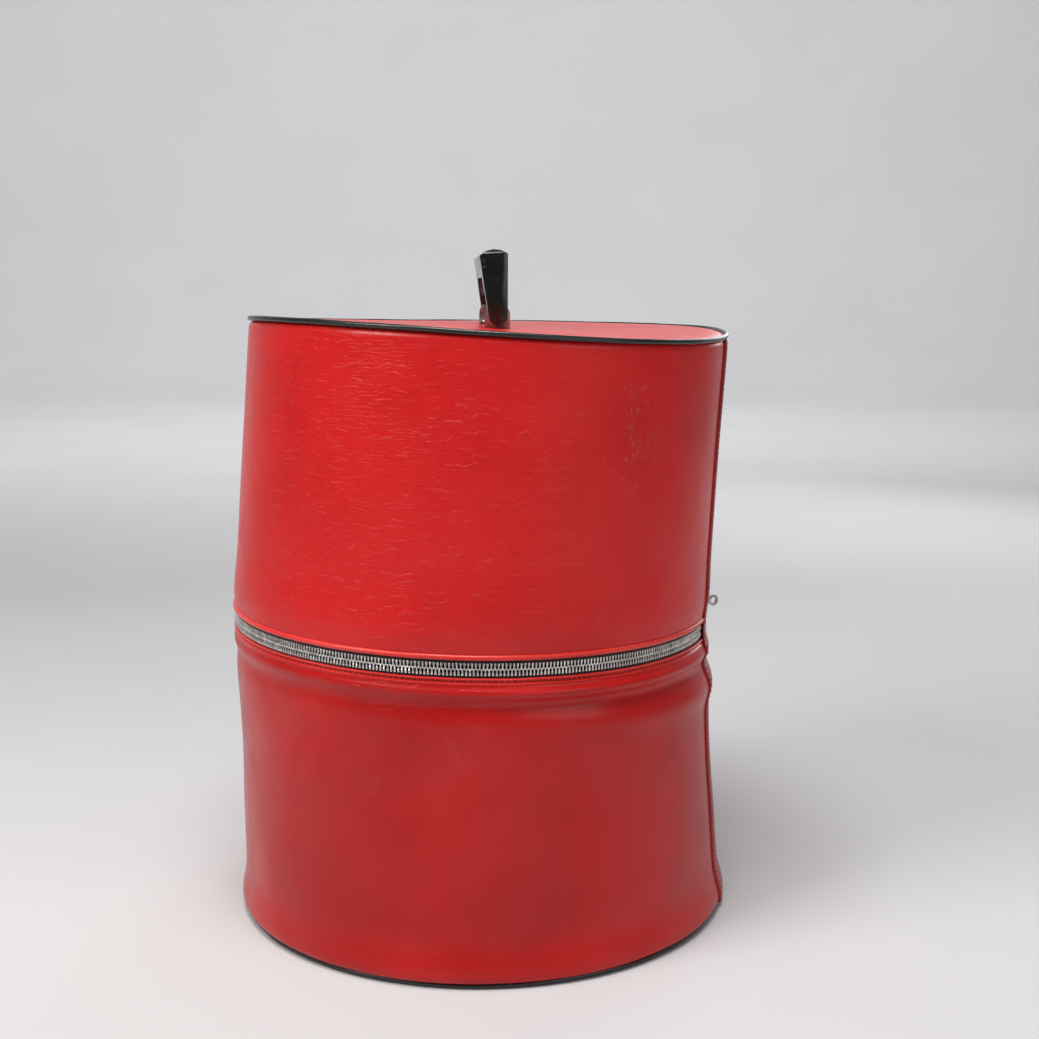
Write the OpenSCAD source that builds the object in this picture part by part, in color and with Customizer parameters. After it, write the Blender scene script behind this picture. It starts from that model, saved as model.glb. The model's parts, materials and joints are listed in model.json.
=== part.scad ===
// Round zip-around carrying case: a stiff drum-shaped shell in glossy leathercloth, parted halfway up
// by a metal zip, with a cloth hinge down its back and a folding carrying handle on the lid.
// Z is up, the base rests on Z = 0 with its middle at the origin, and the hinge is at +Y.

/* [Shell] */
// Outside radius of the case at the zip
rim_r = 128.4; // [105:0.1:155]
// How much wider the lid's rim is than the base's
rim_step = 0.4; // [0:0.1:1]

/* [Base half] */
// How far the base widens from the zip down to the floor
foot_flare = 3.3; // [0:0.1:6]
// Height of the middle of the zip above the floor
zip_height = 159; // [90:1:220]
// How far the worn base leans towards its front, in degrees
base_lean = 2.35; // [0:0.05:4]
// How far the zip slopes down towards the hinge, in degrees
zip_tilt = 1.5; // [0:0.1:3]

/* [Lid half] */
// How far the lid narrows from the zip up to its top
lid_taper = 1.6; // [0:0.1:4]
// Height of the lid from the middle of the zip to its top
lid_height = 157; // [60:1:220]
// How far the lid leans back over the hinge, in degrees
lid_lean = 3.9; // [0:0.05:5]
// How far the lid's top slopes down towards the hinge, in degrees
top_tilt = 2.2; // [0:0.1:5]
// How far the lid's top rises towards the +X side, in degrees
top_side_tilt = 0.6; // [0:0.1:2]

/* [Layers] */
// Thickness of the leathercloth cover
cover_t = 0.9; // [0.6:0.1:1.4]
// Thickness of the fibreboard in the walls
wall_board_t = 2.5; // [1.5:0.1:4]
// Thickness of the fibreboard discs in the floor and the top
disc_board_t = 3; // [2:0.1:5]
// Thickness of the cloth lining
lining_t = 0.8; // [0.4:0.1:1.2]
// Radius of the round piping cord along both outer edges
piping_r = 1.3; // [1:0.1:2.5]
// Gap left between layers that are glued face to face
layer_gap = 0.05; // [0.02:0.01:0.1]

/* [Hinge strip] */
// Width of the back strip, round the wall
strip_width = 80.7; // [60:0.1:110]
// Thickness of the back strip
strip_t = 0.9; // [0.6:0.1:1.4]
// Height of the part of the strip that bends
flex_height = 3; // [2:0.5:6]
// Height of each half of the inner hinge lining
hinge_lining_height = 16; // [10:1:30]

/* [Zip] */
// Width of the closed row of zip teeth
teeth_width = 6.2; // [5:0.1:8]
// Thickness of the zip teeth, through the wall
teeth_t = 2.2; // [1.6:0.1:3]
// Gap along the middle, where the teeth of the two rows mesh
teeth_gap = 0.9; // [0.8:0.1:1.4]
// Thickness of the zip tape
tape_t = 0.6; // [0.4:0.1:0.8]
// Depth of tape that is sewn in under each cover
tape_depth = 14; // [8:1:20]
// Clearance between the slider and the lid's folded edge
lid_edge_gap = 0.5; // [0.4:0.1:2]
// Clearance between the slider and the base's folded edge
base_edge_gap = 0.4; // [0.4:0.1:2]
// Height of each folded edge
edge_height = 2.8; // [2:0.1:4]
// How far a folded edge stands proud of its wall
edge_proud = 0.35; // [0.2:0.05:0.6]
// Length of the metal stop at each end of the zip, round the wall
stop_length = 2; // [1.4:0.1:3.4]

/* [Slider and pull] */
// Length of the slider, round the wall
slider_length = 11.1; // [8:0.1:15]
// Thickness of the slider's lips, over and under the teeth
slider_lip_t = 0.5; // [0.4:0.1:0.8]
// Thickness of the slider's front and back plates
slider_plate_t = 1.2; // [0.8:0.1:1.6]
// Clearance between the slider and the teeth
slider_gap = 0.3; // [0.25:0.05:0.35]
// Distance from the pull's pin to the middle of its ring
pull_length = 27.5; // [18:0.5:40]
// Outside radius of the ring at the end of the pull
pull_ring_r = 3.3; // [2.8:0.1:5]
// Radius of the hole in the ring
pull_hole_r = 1.8; // [1:0.1:2.4]
// Thickness of the pull
pull_t = 1.3; // [1:0.1:1.6]
// How far the pull's tab bends down from its link, in degrees
pull_droop = 11; // [0:1:15]

/* [Handle] */
// Length of the handle over its ends
handle_length = 119; // [90:1:150]
// Height of the grip's top above the pins
handle_rise = 33.2; // [28:0.2:45]
// Width of the grip at its top
grip_width = 14.2; // [11:0.1:20]
// Width of each leg at its pin
leg_width = 9.6; // [8:0.1:11]
// Thickness of the grip, from its top to the finger gap
grip_depth = 13.5; // [9:0.5:16]
// Length of each leg along the handle, at its pin
leg_length = 10.8; // [8:0.1:14]
// Height of the pins above the lid
pin_height = 6.2; // [6:0.1:9]
// Radius of the handle pins
pin_r = 2; // [1.5:0.1:2.5]
// Running clearance of a pin in its leg
pin_clearance = 0.05; // [0.02:0.01:0.1]
// Distance of the handle behind the middle of the lid
handle_set_back = 2.5; // [0:0.5:6]
// How far the handle rests forward of square, in degrees
handle_lean = 6.2; // [0:0.1:10]

/* [Handle brackets] */
// Thickness of the bracket metal
bracket_t = 1.2; // [1:0.1:2]
// Width of the brackets
bracket_width = 13; // [11:0.5:18]
// Length of the bracket foot on the lid
bracket_length = 14; // [12:0.5:20]
// Radius of the rivet shanks
rivet_r = 1.5; // [1:0.1:2]
// Radius of the rivet heads
rivet_head_r = 2.6; // [2.2:0.1:3]
// Distance between the two rivets of a bracket
rivet_spacing = 7.6; // [6:0.2:9]

/* [Hidden] */
$fn = 128;

reach = 400; // larger than the whole case, for cutting planes
overshoot = 20; // how far a wall runs past the planes that trim it
stitch_gap = 0.3; // clearance between parts that only lie near each other
disc_gap = 0.4; // clearance between a disc and the piping round it
piping_sunk = 0.2; // how far the middle of the piping lies inside the wall's face
piping_lift = 0.3; // how far the lower piping clears the floor
piping_proud = 0.5; // how far the upper piping stands above the lid's top
wall_gap = 0.1; // clearance between a wall and its piping
stop_clearance = 0.9; // from the hinge strip to a zip stop
slider_end_gap = 0.45; // from a zip stop to the slider
slider_front_gap = 1.1; // from the slider to the zip's moving part
zip_split = 0.45; // between the zip's end and its moving part
base_rim_r = rim_r - rim_step / 2;
base_foot_r = base_rim_r + foot_flare;
lid_rim_r = rim_r + rim_step / 2;
lid_top_r = lid_rim_r - lid_taper;
zip_y = -zip_height * tan(base_lean);
top_y = zip_y + lid_height * tan(lid_lean);
top_height = zip_height + lid_height;

// Depths of the wall's layers, measured inwards from its outside
tape_out = cover_t + layer_gap;
tape_in = tape_out + tape_t;
board_out = cover_t + layer_gap;
board_in = board_out + wall_board_t;
lining_out = board_in + layer_gap;
lining_in = lining_out + lining_t;
hinge_lining_out = lining_in + layer_gap;
strip_in = layer_gap;
strip_out = strip_in + strip_t;

// The zip's teeth sit on the middle of its tapes
zip_r = rim_r - (tape_out + tape_in) / 2;
teeth_in_r = zip_r - teeth_t / 2;
teeth_out_r = zip_r + teeth_t / 2;
tooth_grip = 1.2; // how far a tooth's legs reach over the edge of the tape
tape_tip = teeth_width / 2 - tooth_grip;

// Slider's height, and how far the folded edges keep from the middle of the zip
slider_height = teeth_width + 2 * (slider_gap + slider_lip_t);
lid_edge_up = slider_height / 2 + lid_edge_gap;
base_edge_down = slider_height / 2 + base_edge_gap;

// Angles round the wall, counted from +X, with the hinge at 90
function angle_of(length, r) = length / r * 180 / PI;
strip_start = 90 - angle_of(strip_width / 2, rim_r);
strip_end = 90 + angle_of(strip_width / 2, rim_r);
slider_angle = angle_of(slider_length, zip_r);
stop_start = strip_end + angle_of(stop_clearance, zip_r);
teeth_start = stop_start + angle_of(stop_length, zip_r);
teeth_end = 540 - teeth_start;
slider_rest = teeth_start + slider_angle / 2 + angle_of(slider_end_gap, zip_r);
zip_start = slider_rest + slider_angle / 2 + angle_of(slider_front_gap, zip_r);
lid_zip_start = zip_start + angle_of(zip_split, zip_r);
lid_zip_end = 540 - lid_zip_start;

// Slider
slider_front_r = teeth_out_r + slider_gap;
slider_back_r = teeth_in_r - slider_gap;
lip_clearance = 0.8; // the tapes lean a little against the zip's plane
bridge_t = 0.4;
bridge_length = 3.1;
crown_width = 1.8;
crown_t = 0.8;
crown_rise = 1.9;
crown_length = 6.4;
crown_opening = 4.4;
pull_pin_r = 0.55;
pull_arm_gap = 0.4;
pull_arm_t = 0.9;
pull_link_length = 6.6;
pull_bar_t = 1.3;
pull_heel = 0.4; // how far the arms run behind the pin
crown_floor_r = slider_front_r + slider_plate_t;
pull_pivot_r = crown_floor_r + crown_rise / 2;
pull_arm_in = crown_width / 2 + pull_arm_gap;
pull_arm_out = pull_arm_in + pull_arm_t;

// Handle
leg_outside = handle_length / 2;
leg_inside = leg_outside - leg_length;
leg_clearance = 0.4;
end_ridge = 2.2; // how far the ridge down the middle of each end stands out
end_taper = 1.2; // how far each end leans in towards its top
end_round = 2; // size of the slope between an end and the top
crown = 2.6; // how far the middle of the grip's top stands above its edges
ear_outside = leg_inside - leg_clearance;
ear_inside = ear_outside - bracket_t;
ear_top = pin_height + pin_r + 2.4;
foot_inside = ear_outside - bracket_length;
rivet_x = foot_inside + bracket_length * 0.42;
pin_end = leg_inside + leg_length * 0.7;
pin_head_t = 1.1;
pin_head_r = pin_r + 1.2;
rivet_head_t = 1.2;
rivet_tip_r = 1.6;
leg_straight = bracket_width / 2 + 3; // the legs stay clear of the ears up to here
backing_t = 1;
backing_length = 10;
top_stack = cover_t + disc_board_t + lining_t + 2 * layer_gap;

function base_r(z) = base_foot_r + (base_rim_r - base_foot_r) * z / zip_height;
function lid_r(z) = lid_rim_r + (lid_top_r - lid_rim_r) * z / lid_height;

// Frames
module on_base_axis() rotate([base_lean, 0, 0]) children();
module on_zip() translate([0, zip_y, zip_height]) rotate([-zip_tilt, 0, 0]) children();
module on_lid_axis() translate([0, zip_y, zip_height]) rotate([-lid_lean, 0, 0]) children();
module on_lid_top() translate([0, top_y, top_height]) rotate([-top_tilt, -top_side_tilt, 0]) children();
module on_handle_pins() on_lid_top() translate([0, handle_set_back, pin_height]) children();
module on_slider() on_zip() rotate(slider_rest) children();
module on_pull() on_slider() translate([pull_pivot_r, 0, 0]) children();

// Solid wedge between two angles, as tall as the case
module wedge(from, to) {
    steps = ceil((to - from) / 30);
    rim = [for (i = [0:steps]) let (a = from + (to - from) * i / steps) reach * [cos(a), sin(a)]];
    translate([0, 0, -reach]) linear_extrude(2 * reach) polygon(concat([[0, 0]], rim));
}

// Tapered wall between two depths from the base's outside, still untrimmed
module base_cone(depth) {
    low = -overshoot;
    high = zip_height + overshoot;
    translate([0, 0, low]) cylinder(h = high - low, r1 = base_r(low) - depth, r2 = base_r(high) - depth);
}
module lid_cone(depth) {
    low = -overshoot;
    high = lid_height + overshoot;
    translate([0, 0, low]) cylinder(h = high - low, r1 = lid_r(low) - depth, r2 = lid_r(high) - depth);
}

// Everything above a height in the frame that it is used in, or below it
module above(z) translate([0, 0, z]) cylinder(h = reach, r = reach);
module below(z) translate([0, 0, z - reach]) cylinder(h = reach, r = reach);

// Ring of the base wall: two depths inwards, a height over the floor and one over the zip's plane
module base_ring(outside, inside, floor_z, zip_z) {
    intersection() {
        on_base_axis() difference() {
            base_cone(outside);
            base_cone(inside);
        }
        above(floor_z);
        on_zip() below(zip_z);
    }
}
// Ring of the base wall between two heights over the zip's plane
module base_band(outside, inside, from_z, to_z) {
    intersection() {
        on_base_axis() difference() {
            base_cone(outside);
            base_cone(inside);
        }
        on_zip() above(from_z);
        on_zip() below(to_z);
    }
}
// The same for the lid, with heights over the zip's plane and over the lid's top
module lid_ring(outside, inside, zip_z, top_z) {
    intersection() {
        on_lid_axis() difference() {
            lid_cone(outside);
            lid_cone(inside);
        }
        on_zip() above(zip_z);
        on_lid_top() below(top_z);
    }
}
module lid_band(outside, inside, from_z, to_z) {
    intersection() {
        on_lid_axis() difference() {
            lid_cone(outside);
            lid_cone(inside);
        }
        on_zip() above(from_z);
        on_zip() below(to_z);
    }
}
// Piece of a flat ring about the zip's own axis
module zip_arc(inner_r, outer_r, from_z, to_z, from_a, to_a)
    rotate(from_a) rotate_extrude(angle = to_a - from_a)
        translate([inner_r, from_z]) square([outer_r - inner_r, to_z - from_z]);

// Heights of the walls' free ends
base_wall_low = piping_lift + 2 * piping_r + wall_gap;
base_wall_high = -base_edge_down - edge_height - layer_gap;
lid_wall_low = lid_edge_up + edge_height + layer_gap;
lid_wall_high = piping_proud - 2 * piping_r - wall_gap;
floor_disc_r = base_foot_r - piping_sunk - piping_r - disc_gap;
top_disc_r = lid_top_r - piping_sunk - piping_r - disc_gap;
floor_board_z = cover_t + layer_gap;
floor_lining_z = floor_board_z + disc_board_t + layer_gap;

// --- Base -------------------------------------------------------------------------------------

module base_bottom_cover()
    color("firebrick") cylinder(h = cover_t, r = floor_disc_r);

module base_floor_board()
    color("peru") translate([0, 0, floor_board_z]) cylinder(h = disc_board_t, r = floor_disc_r - 0.2);

module base_floor_lining()
    color("black") translate([0, 0, floor_lining_z])
        cylinder(h = lining_t, r = base_foot_r - lining_out - stitch_gap);

module base_wall_board()
    color("peru") difference() {
        base_ring(board_out, board_in, floor_lining_z, base_wall_high);
        base_band(tape_out - layer_gap, tape_in + layer_gap, -tape_depth - layer_gap, overshoot);
    }

module base_wall_cover()
    color("firebrick") base_ring(0, cover_t, base_wall_low, base_wall_high);

module base_wall_lining()
    color("black") base_ring(lining_out, lining_in, floor_lining_z + lining_t + layer_gap, base_wall_high);

module base_piping()
    color("black") translate([0, 0, piping_lift + piping_r])
        rotate_extrude() translate([base_foot_r - piping_sunk, 0]) circle(r = piping_r);

module base_zip_edge()
    color("firebrick") difference() {
        base_band(-edge_proud, lining_in, -base_edge_down - edge_height, -base_edge_down);
        base_band(tape_out - layer_gap, tape_in + layer_gap, -tape_depth, overshoot);
        on_zip() wedge(strip_start - 0.3, strip_end + 0.3);
    }

module zip_tape_lower()
    color("black") difference() {
        base_band(tape_out, tape_in, -tape_depth, -tape_tip);
        on_zip() wedge(strip_start, strip_end);
    }

module zip_teeth_lower()
    color("silver") difference() {
        on_zip() zip_arc(teeth_in_r, teeth_out_r, -teeth_width / 2, -teeth_gap / 2, teeth_start, teeth_end);
        base_band(tape_out - layer_gap, tape_in + layer_gap, -tape_depth, -tape_tip + layer_gap);
    }

// The closed ends of the zip, which stay with the base
module zip_end_pieces() {
    children();
    mirror([1, 0, 0]) children();
}

module zip_end_tapes()
    color("black") zip_end_pieces() intersection() {
        lid_band(tape_out, tape_in, tape_tip, lid_edge_up - stitch_gap);
        on_zip() wedge(strip_end + 0.1, zip_start);
    }

module zip_end_teeth()
    color("silver") difference() {
        zip_end_pieces() on_zip()
            zip_arc(teeth_in_r, teeth_out_r, teeth_gap / 2, teeth_width / 2, teeth_start, zip_start);
        lid_band(tape_out - layer_gap, tape_in + layer_gap, tape_tip - layer_gap, lid_edge_up);
    }

module zip_end_stops()
    color("silver") difference() {
        zip_end_pieces() on_zip()
            zip_arc(teeth_in_r, teeth_out_r, -teeth_width / 2, teeth_width / 2,
                stop_start, teeth_start - angle_of(layer_gap, zip_r));
        lid_band(tape_out - layer_gap, tape_in + layer_gap, tape_tip - layer_gap, lid_edge_up);
        base_band(tape_out - layer_gap, tape_in + layer_gap, -tape_depth, -tape_tip + layer_gap);
    }

module hinge_strip_lower()
    color("brown") intersection() {
        base_ring(-strip_out, -strip_in, base_wall_low, -flex_height / 2);
        on_zip() wedge(strip_start, strip_end);
    }

module hinge_strip_bend()
    color("brown") intersection() {
        base_band(-strip_out, -strip_in, -flex_height / 2 + layer_gap, flex_height / 2 - layer_gap);
        on_zip() wedge(strip_start, strip_end);
    }

module hinge_lining_lower()
    color("black") intersection() {
        base_band(hinge_lining_out, hinge_lining_out + lining_t, -hinge_lining_height, -flex_height / 4);
        on_zip() wedge(strip_start - 1, strip_end + 1);
    }

// --- Lid --------------------------------------------------------------------------------------

module rivet_places()
    for (side = [-1, 1], y = [-1, 1])
        translate([side * rivet_x, handle_set_back + y * rivet_spacing / 2, 0]) children();

module rivet_holes()
    on_lid_top() rivet_places() translate([0, 0, -reach / 2]) cylinder(h = reach, r = rivet_r + layer_gap);

module lid_top_cover()
    color("firebrick") difference() {
        on_lid_top() translate([0, 0, -cover_t]) cylinder(h = cover_t, r = top_disc_r);
        rivet_holes();
    }

module lid_top_board()
    color("peru") difference() {
        on_lid_top() translate([0, 0, -cover_t - layer_gap - disc_board_t])
            cylinder(h = disc_board_t, r = top_disc_r - 0.2);
        rivet_holes();
    }

module lid_top_lining()
    color("black") difference() {
        on_lid_top() translate([0, 0, -top_stack])
            cylinder(h = lining_t, r = lid_top_r - lining_out - stitch_gap);
        rivet_holes();
    }

module lid_wall_board()
    color("peru") difference() {
        lid_ring(board_out, board_in, lid_wall_low, -cover_t - disc_board_t - 2 * layer_gap);
        lid_band(tape_out - layer_gap, tape_in + layer_gap, -overshoot, tape_depth + layer_gap);
    }

module lid_wall_cover()
    color("firebrick") lid_ring(0, cover_t, lid_wall_low, lid_wall_high);

module lid_wall_lining()
    color("black") lid_ring(lining_out, lining_in, lid_wall_low, -top_stack - layer_gap);

module lid_piping()
    color("black") on_lid_top() translate([0, 0, piping_proud - piping_r])
        rotate_extrude() translate([lid_top_r - piping_sunk, 0]) circle(r = piping_r);

module lid_zip_edge()
    color("firebrick") difference() {
        lid_band(-edge_proud, lining_in, lid_edge_up, lid_edge_up + edge_height);
        lid_band(tape_out - layer_gap, tape_in + layer_gap, -overshoot, tape_depth);
        on_zip() wedge(strip_start - 0.3, strip_end + 0.3);
    }

module zip_tape_upper()
    color("black") difference() {
        lid_band(tape_out, tape_in, tape_tip, tape_depth);
        on_zip() wedge(180 - lid_zip_start, lid_zip_start);
    }

module zip_teeth_upper()
    color("silver") difference() {
        on_zip() zip_arc(teeth_in_r, teeth_out_r, teeth_gap / 2, teeth_width / 2, lid_zip_start, lid_zip_end);
        lid_band(tape_out - layer_gap, tape_in + layer_gap, tape_tip - layer_gap, tape_depth);
    }

module hinge_strip_upper()
    color("brown") intersection() {
        lid_ring(-strip_out, -strip_in, flex_height / 2, lid_wall_high);
        on_zip() wedge(strip_start, strip_end);
    }

module hinge_lining_upper()
    color("black") intersection() {
        lid_band(hinge_lining_out, hinge_lining_out + lining_t, flex_height / 4, hinge_lining_height);
        on_zip() wedge(strip_start - 1, strip_end + 1);
    }

// --- Slider and pull --------------------------------------------------------------------------

module slider_arc(inner_r, outer_r, from_z, to_z, angle)
    zip_arc(inner_r, outer_r, from_z, to_z, -angle / 2, angle / 2);

module zip_slider() {
    half = slider_height / 2;
    tape_r = zip_r + tape_t / 2 + lip_clearance;
    inner_tape_r = zip_r - tape_t / 2 - lip_clearance;
    color("silver") on_slider() {
        slider_arc(slider_front_r, slider_front_r + slider_plate_t, -half, half, slider_angle);
        slider_arc(slider_back_r - slider_plate_t, slider_back_r, -half, half, slider_angle);
        for (side = [0, 1]) mirror([0, 0, side]) {
            slider_arc(tape_r, slider_front_r + 0.2, half - slider_lip_t, half, slider_angle);
            slider_arc(slider_back_r - 0.2, inner_tape_r, half - slider_lip_t, half, slider_angle);
        }
        slider_arc(slider_back_r - 0.2, slider_front_r + 0.2, -bridge_t / 2, bridge_t / 2,
            angle_of(bridge_length, zip_r));
        difference() {
            translate([crown_floor_r - 0.3, -crown_length / 2, -crown_width / 2])
                cube([crown_rise + crown_t + 0.3, crown_length, crown_width]);
            translate([crown_floor_r, -crown_opening / 2, -crown_width])
                cube([crown_rise, crown_opening, 2 * crown_width]);
        }
    }
}

// The pull's flat tab and its ring, along X from the link's outer bar
module pull_tab() {
    bar_x = pull_link_length - pull_heel - pull_bar_t;
    ring_x = pull_length - bar_x;
    translate([bar_x, 0, 0]) rotate([0, pull_droop, 0]) difference() {
        union() {
            translate([0, -pull_t / 2, -pull_arm_in]) cube([ring_x, pull_t, 2 * pull_arm_in]);
            translate([ring_x, pull_t / 2, 0]) rotate([90, 0, 0]) cylinder(h = pull_t, r = pull_ring_r);
        }
        translate([ring_x, pull_t, 0]) rotate([90, 0, 0]) cylinder(h = 2 * pull_t, r = pull_hole_r);
    }
}

module zip_pull()
    color("silver") on_pull() {
        translate([0, 0, -pull_arm_out]) cylinder(h = 2 * pull_arm_out, r = pull_pin_r);
        for (side = [0, 1]) mirror([0, 0, side])
            translate([-pull_heel, -pull_t / 2, pull_arm_in]) cube([pull_link_length, pull_t, pull_arm_t]);
        translate([pull_link_length - pull_heel - pull_bar_t, -pull_t / 2, -pull_arm_out])
            cube([pull_bar_t, pull_t, 2 * pull_arm_out]);
        pull_tab();
    }

// --- Handle -----------------------------------------------------------------------------------

// Seen from the side, without its finger gap
module handle_side()
    rotate([90, 0, 0]) translate([0, 0, -reach / 2]) linear_extrude(reach)
        polygon([
            [-leg_outside, -leg_width], [leg_outside, -leg_width],
            [leg_outside - end_taper, handle_rise - end_round],
            [leg_outside - end_taper - end_round, handle_rise],
            [end_taper + end_round - leg_outside, handle_rise],
            [end_taper - leg_outside, handle_rise - end_round]
        ]);

// Seen from its end: narrow at the pins, wide and slightly ridged at the top
module handle_end() {
    w = grip_width / 2;
    rotate([90, 0, 90]) translate([0, 0, -reach / 2]) linear_extrude(reach)
        polygon([
            [-leg_width / 2, 0], [leg_width / 2, 0], [w, handle_rise - crown], [w / 2, handle_rise - crown / 4],
            [0, handle_rise], [-w / 2, handle_rise - crown / 4], [-w, handle_rise - crown]
        ]);
}

// Seen from above: each end comes to a blunt ridge
module handle_plan() {
    half = grip_width / 2 + 1;
    translate([0, 0, -reach / 2]) linear_extrude(reach)
        polygon([
            [leg_outside, 0], [leg_outside - end_ridge, half], [end_ridge - leg_outside, half],
            [-leg_outside, 0], [end_ridge - leg_outside, -half], [leg_outside - end_ridge, -half]
        ]);
}

module finger_gap() {
    top = handle_rise - grip_depth;
    rotate([90, 0, 0]) translate([0, 0, -reach / 2]) linear_extrude(reach)
        polygon([
            [-leg_inside, -2 * leg_width], [leg_inside, -2 * leg_width], [leg_inside, leg_straight],
            [leg_inside - 3, leg_straight + 4], [leg_inside - 12, top], [12 - leg_inside, top],
            [3 - leg_inside, leg_straight + 4], [-leg_inside, leg_straight]
        ]);
}

module handle_grip()
    color("dimgray") on_handle_pins() rotate([handle_lean, 0, 0]) difference() {
        intersection() {
            union() {
                handle_end();
                rotate([0, 90, 0]) cylinder(h = 2 * leg_outside, r = leg_width / 2, center = true);
            }
            handle_side();
            handle_plan();
        }
        finger_gap();
        for (side = [0, 1]) mirror([side, 0, 0])
            translate([leg_inside - leg_clearance, 0, 0]) rotate([0, 90, 0])
                cylinder(h = pin_end - leg_inside + 2 * leg_clearance, r = pin_r + pin_clearance);
    }

// The right-hand bracket, in the frame of the lid's top: a foot on the lid and an ear beside the leg
module bracket_shape() {
    half = bracket_width / 2;
    translate([0, handle_set_back, 0]) difference() {
        union() {
            translate([foot_inside, -half, 0]) cube([bracket_length, bracket_width, bracket_t]);
            translate([ear_inside, -half, 0]) cube([bracket_t, bracket_width, pin_height]);
            intersection() {
                translate([ear_inside, -half, bracket_t])
                    cube([bracket_t, bracket_width, ear_top - bracket_t]);
                translate([0, 0, pin_height]) rotate([0, 90, 0]) cylinder(h = reach, r = half);
            }
        }
        translate([0, 0, pin_height]) rotate([0, 90, 0]) cylinder(h = reach, r = pin_r + layer_gap);
        for (y = [-1, 1]) translate([rivet_x, y * rivet_spacing / 2, -bracket_t])
            cylinder(h = 3 * bracket_t, r = rivet_r + layer_gap);
    }
}

module handle_bracket_right() color("silver") on_lid_top() bracket_shape();

module handle_bracket_left() color("silver") on_lid_top() mirror([1, 0, 0]) bracket_shape();

module handle_pins()
    color("silver") on_handle_pins() for (side = [0, 1]) mirror([side, 0, 0]) {
        translate([ear_inside - 2 * layer_gap, 0, 0]) rotate([0, 90, 0])
            cylinder(h = pin_end - ear_inside + 2 * layer_gap, r = pin_r);
        translate([ear_inside - layer_gap - pin_head_t, 0, 0]) rotate([0, 90, 0])
            cylinder(h = pin_head_t, r = pin_head_r);
    }

module handle_rivets() {
    tail_z = -top_stack - backing_t - 2 * layer_gap;
    color("silver") on_lid_top() rivet_places() {
        translate([0, 0, bracket_t + layer_gap])
            cylinder(h = rivet_head_t, r1 = rivet_head_r, r2 = rivet_tip_r);
        translate([0, 0, tail_z - layer_gap])
            cylinder(h = bracket_t + 3 * layer_gap - tail_z, r = rivet_r);
        translate([0, 0, tail_z - rivet_head_t])
            cylinder(h = rivet_head_t, r1 = rivet_tip_r, r2 = rivet_head_r);
    }
}

module handle_backing_plates()
    color("silver") on_lid_top() difference() {
        for (side = [-1, 1])
            translate([side * rivet_x, handle_set_back, -top_stack - backing_t / 2 - layer_gap])
                cube([backing_length, bracket_width, backing_t], center = true);
        rivet_places() translate([0, 0, -reach / 2]) cylinder(h = reach, r = rivet_r + layer_gap);
    }

base_bottom_cover();
base_floor_board();
base_floor_lining();
base_wall_board();
base_wall_cover();
base_wall_lining();
base_piping();
base_zip_edge();
zip_tape_lower();
zip_teeth_lower();
zip_end_tapes();
zip_end_teeth();
zip_end_stops();
hinge_strip_lower();
hinge_strip_bend();
hinge_lining_lower();
lid_top_cover();
lid_top_board();
lid_top_lining();
lid_wall_board();
lid_wall_cover();
lid_wall_lining();
lid_piping();
lid_zip_edge();
zip_tape_upper();
zip_teeth_upper();
hinge_strip_upper();
hinge_lining_upper();
zip_slider();
zip_pull();
handle_grip();
handle_bracket_right();
handle_bracket_left();
handle_pins();
handle_rivets();
handle_backing_plates();
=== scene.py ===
# Looks for a round zip-around carrying case: red leathercloth, metal zip, cloth hinge, folding handle.
import json
import math

import bmesh
import bpy
from mathutils import Matrix, Vector, noise


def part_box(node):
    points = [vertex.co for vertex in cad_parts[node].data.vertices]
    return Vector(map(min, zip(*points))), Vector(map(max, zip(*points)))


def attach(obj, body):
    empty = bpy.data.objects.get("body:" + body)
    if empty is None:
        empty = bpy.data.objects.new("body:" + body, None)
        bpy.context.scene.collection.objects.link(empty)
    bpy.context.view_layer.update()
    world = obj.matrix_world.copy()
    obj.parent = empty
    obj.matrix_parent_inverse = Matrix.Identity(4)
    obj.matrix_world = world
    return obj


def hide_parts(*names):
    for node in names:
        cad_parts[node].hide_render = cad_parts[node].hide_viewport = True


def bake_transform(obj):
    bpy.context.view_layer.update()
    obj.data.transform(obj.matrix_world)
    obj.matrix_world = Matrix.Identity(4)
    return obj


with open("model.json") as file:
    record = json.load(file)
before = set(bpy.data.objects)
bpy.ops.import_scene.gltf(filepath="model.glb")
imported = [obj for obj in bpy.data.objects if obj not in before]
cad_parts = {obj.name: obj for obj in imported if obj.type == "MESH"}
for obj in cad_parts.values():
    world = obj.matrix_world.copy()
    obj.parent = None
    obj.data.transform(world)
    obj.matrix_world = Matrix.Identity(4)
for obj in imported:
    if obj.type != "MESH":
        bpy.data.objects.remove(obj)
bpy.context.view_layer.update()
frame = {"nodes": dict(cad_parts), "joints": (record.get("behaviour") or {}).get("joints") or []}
nodes = frame["nodes"]
joints = {j["name"]: j for j in frame["joints"]}
mm = 0.001
fullTurn = 2 * math.pi
print("frame loaded:", len(nodes), "nodes")

# ---- camera, floor and lights
view = dict(
    standsAt=(0.8396, -0.0248, 0.3454),
    turn=math.radians(-3.1),      # which way round the case it looks from
    down=math.radians(9.14),
    lens=53.7,
)
camera = bpy.data.objects.new("camera", bpy.data.cameras.new("camera"))
camera.data.lens = view["lens"]
camera.data.sensor_width = 36
camera.data.clip_start = 0.01
camera.location = view["standsAt"]
looking = Vector((-math.cos(view["turn"]) * math.cos(view["down"]),
                  -math.sin(view["turn"]) * math.cos(view["down"]), -math.sin(view["down"])))
camera.rotation_euler = looking.to_track_quat("-Z", "Y").to_euler()
bpy.context.scene.collection.objects.link(camera)
bpy.context.scene.camera = camera
bpy.context.scene.view_settings.view_transform = "Standard"


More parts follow.
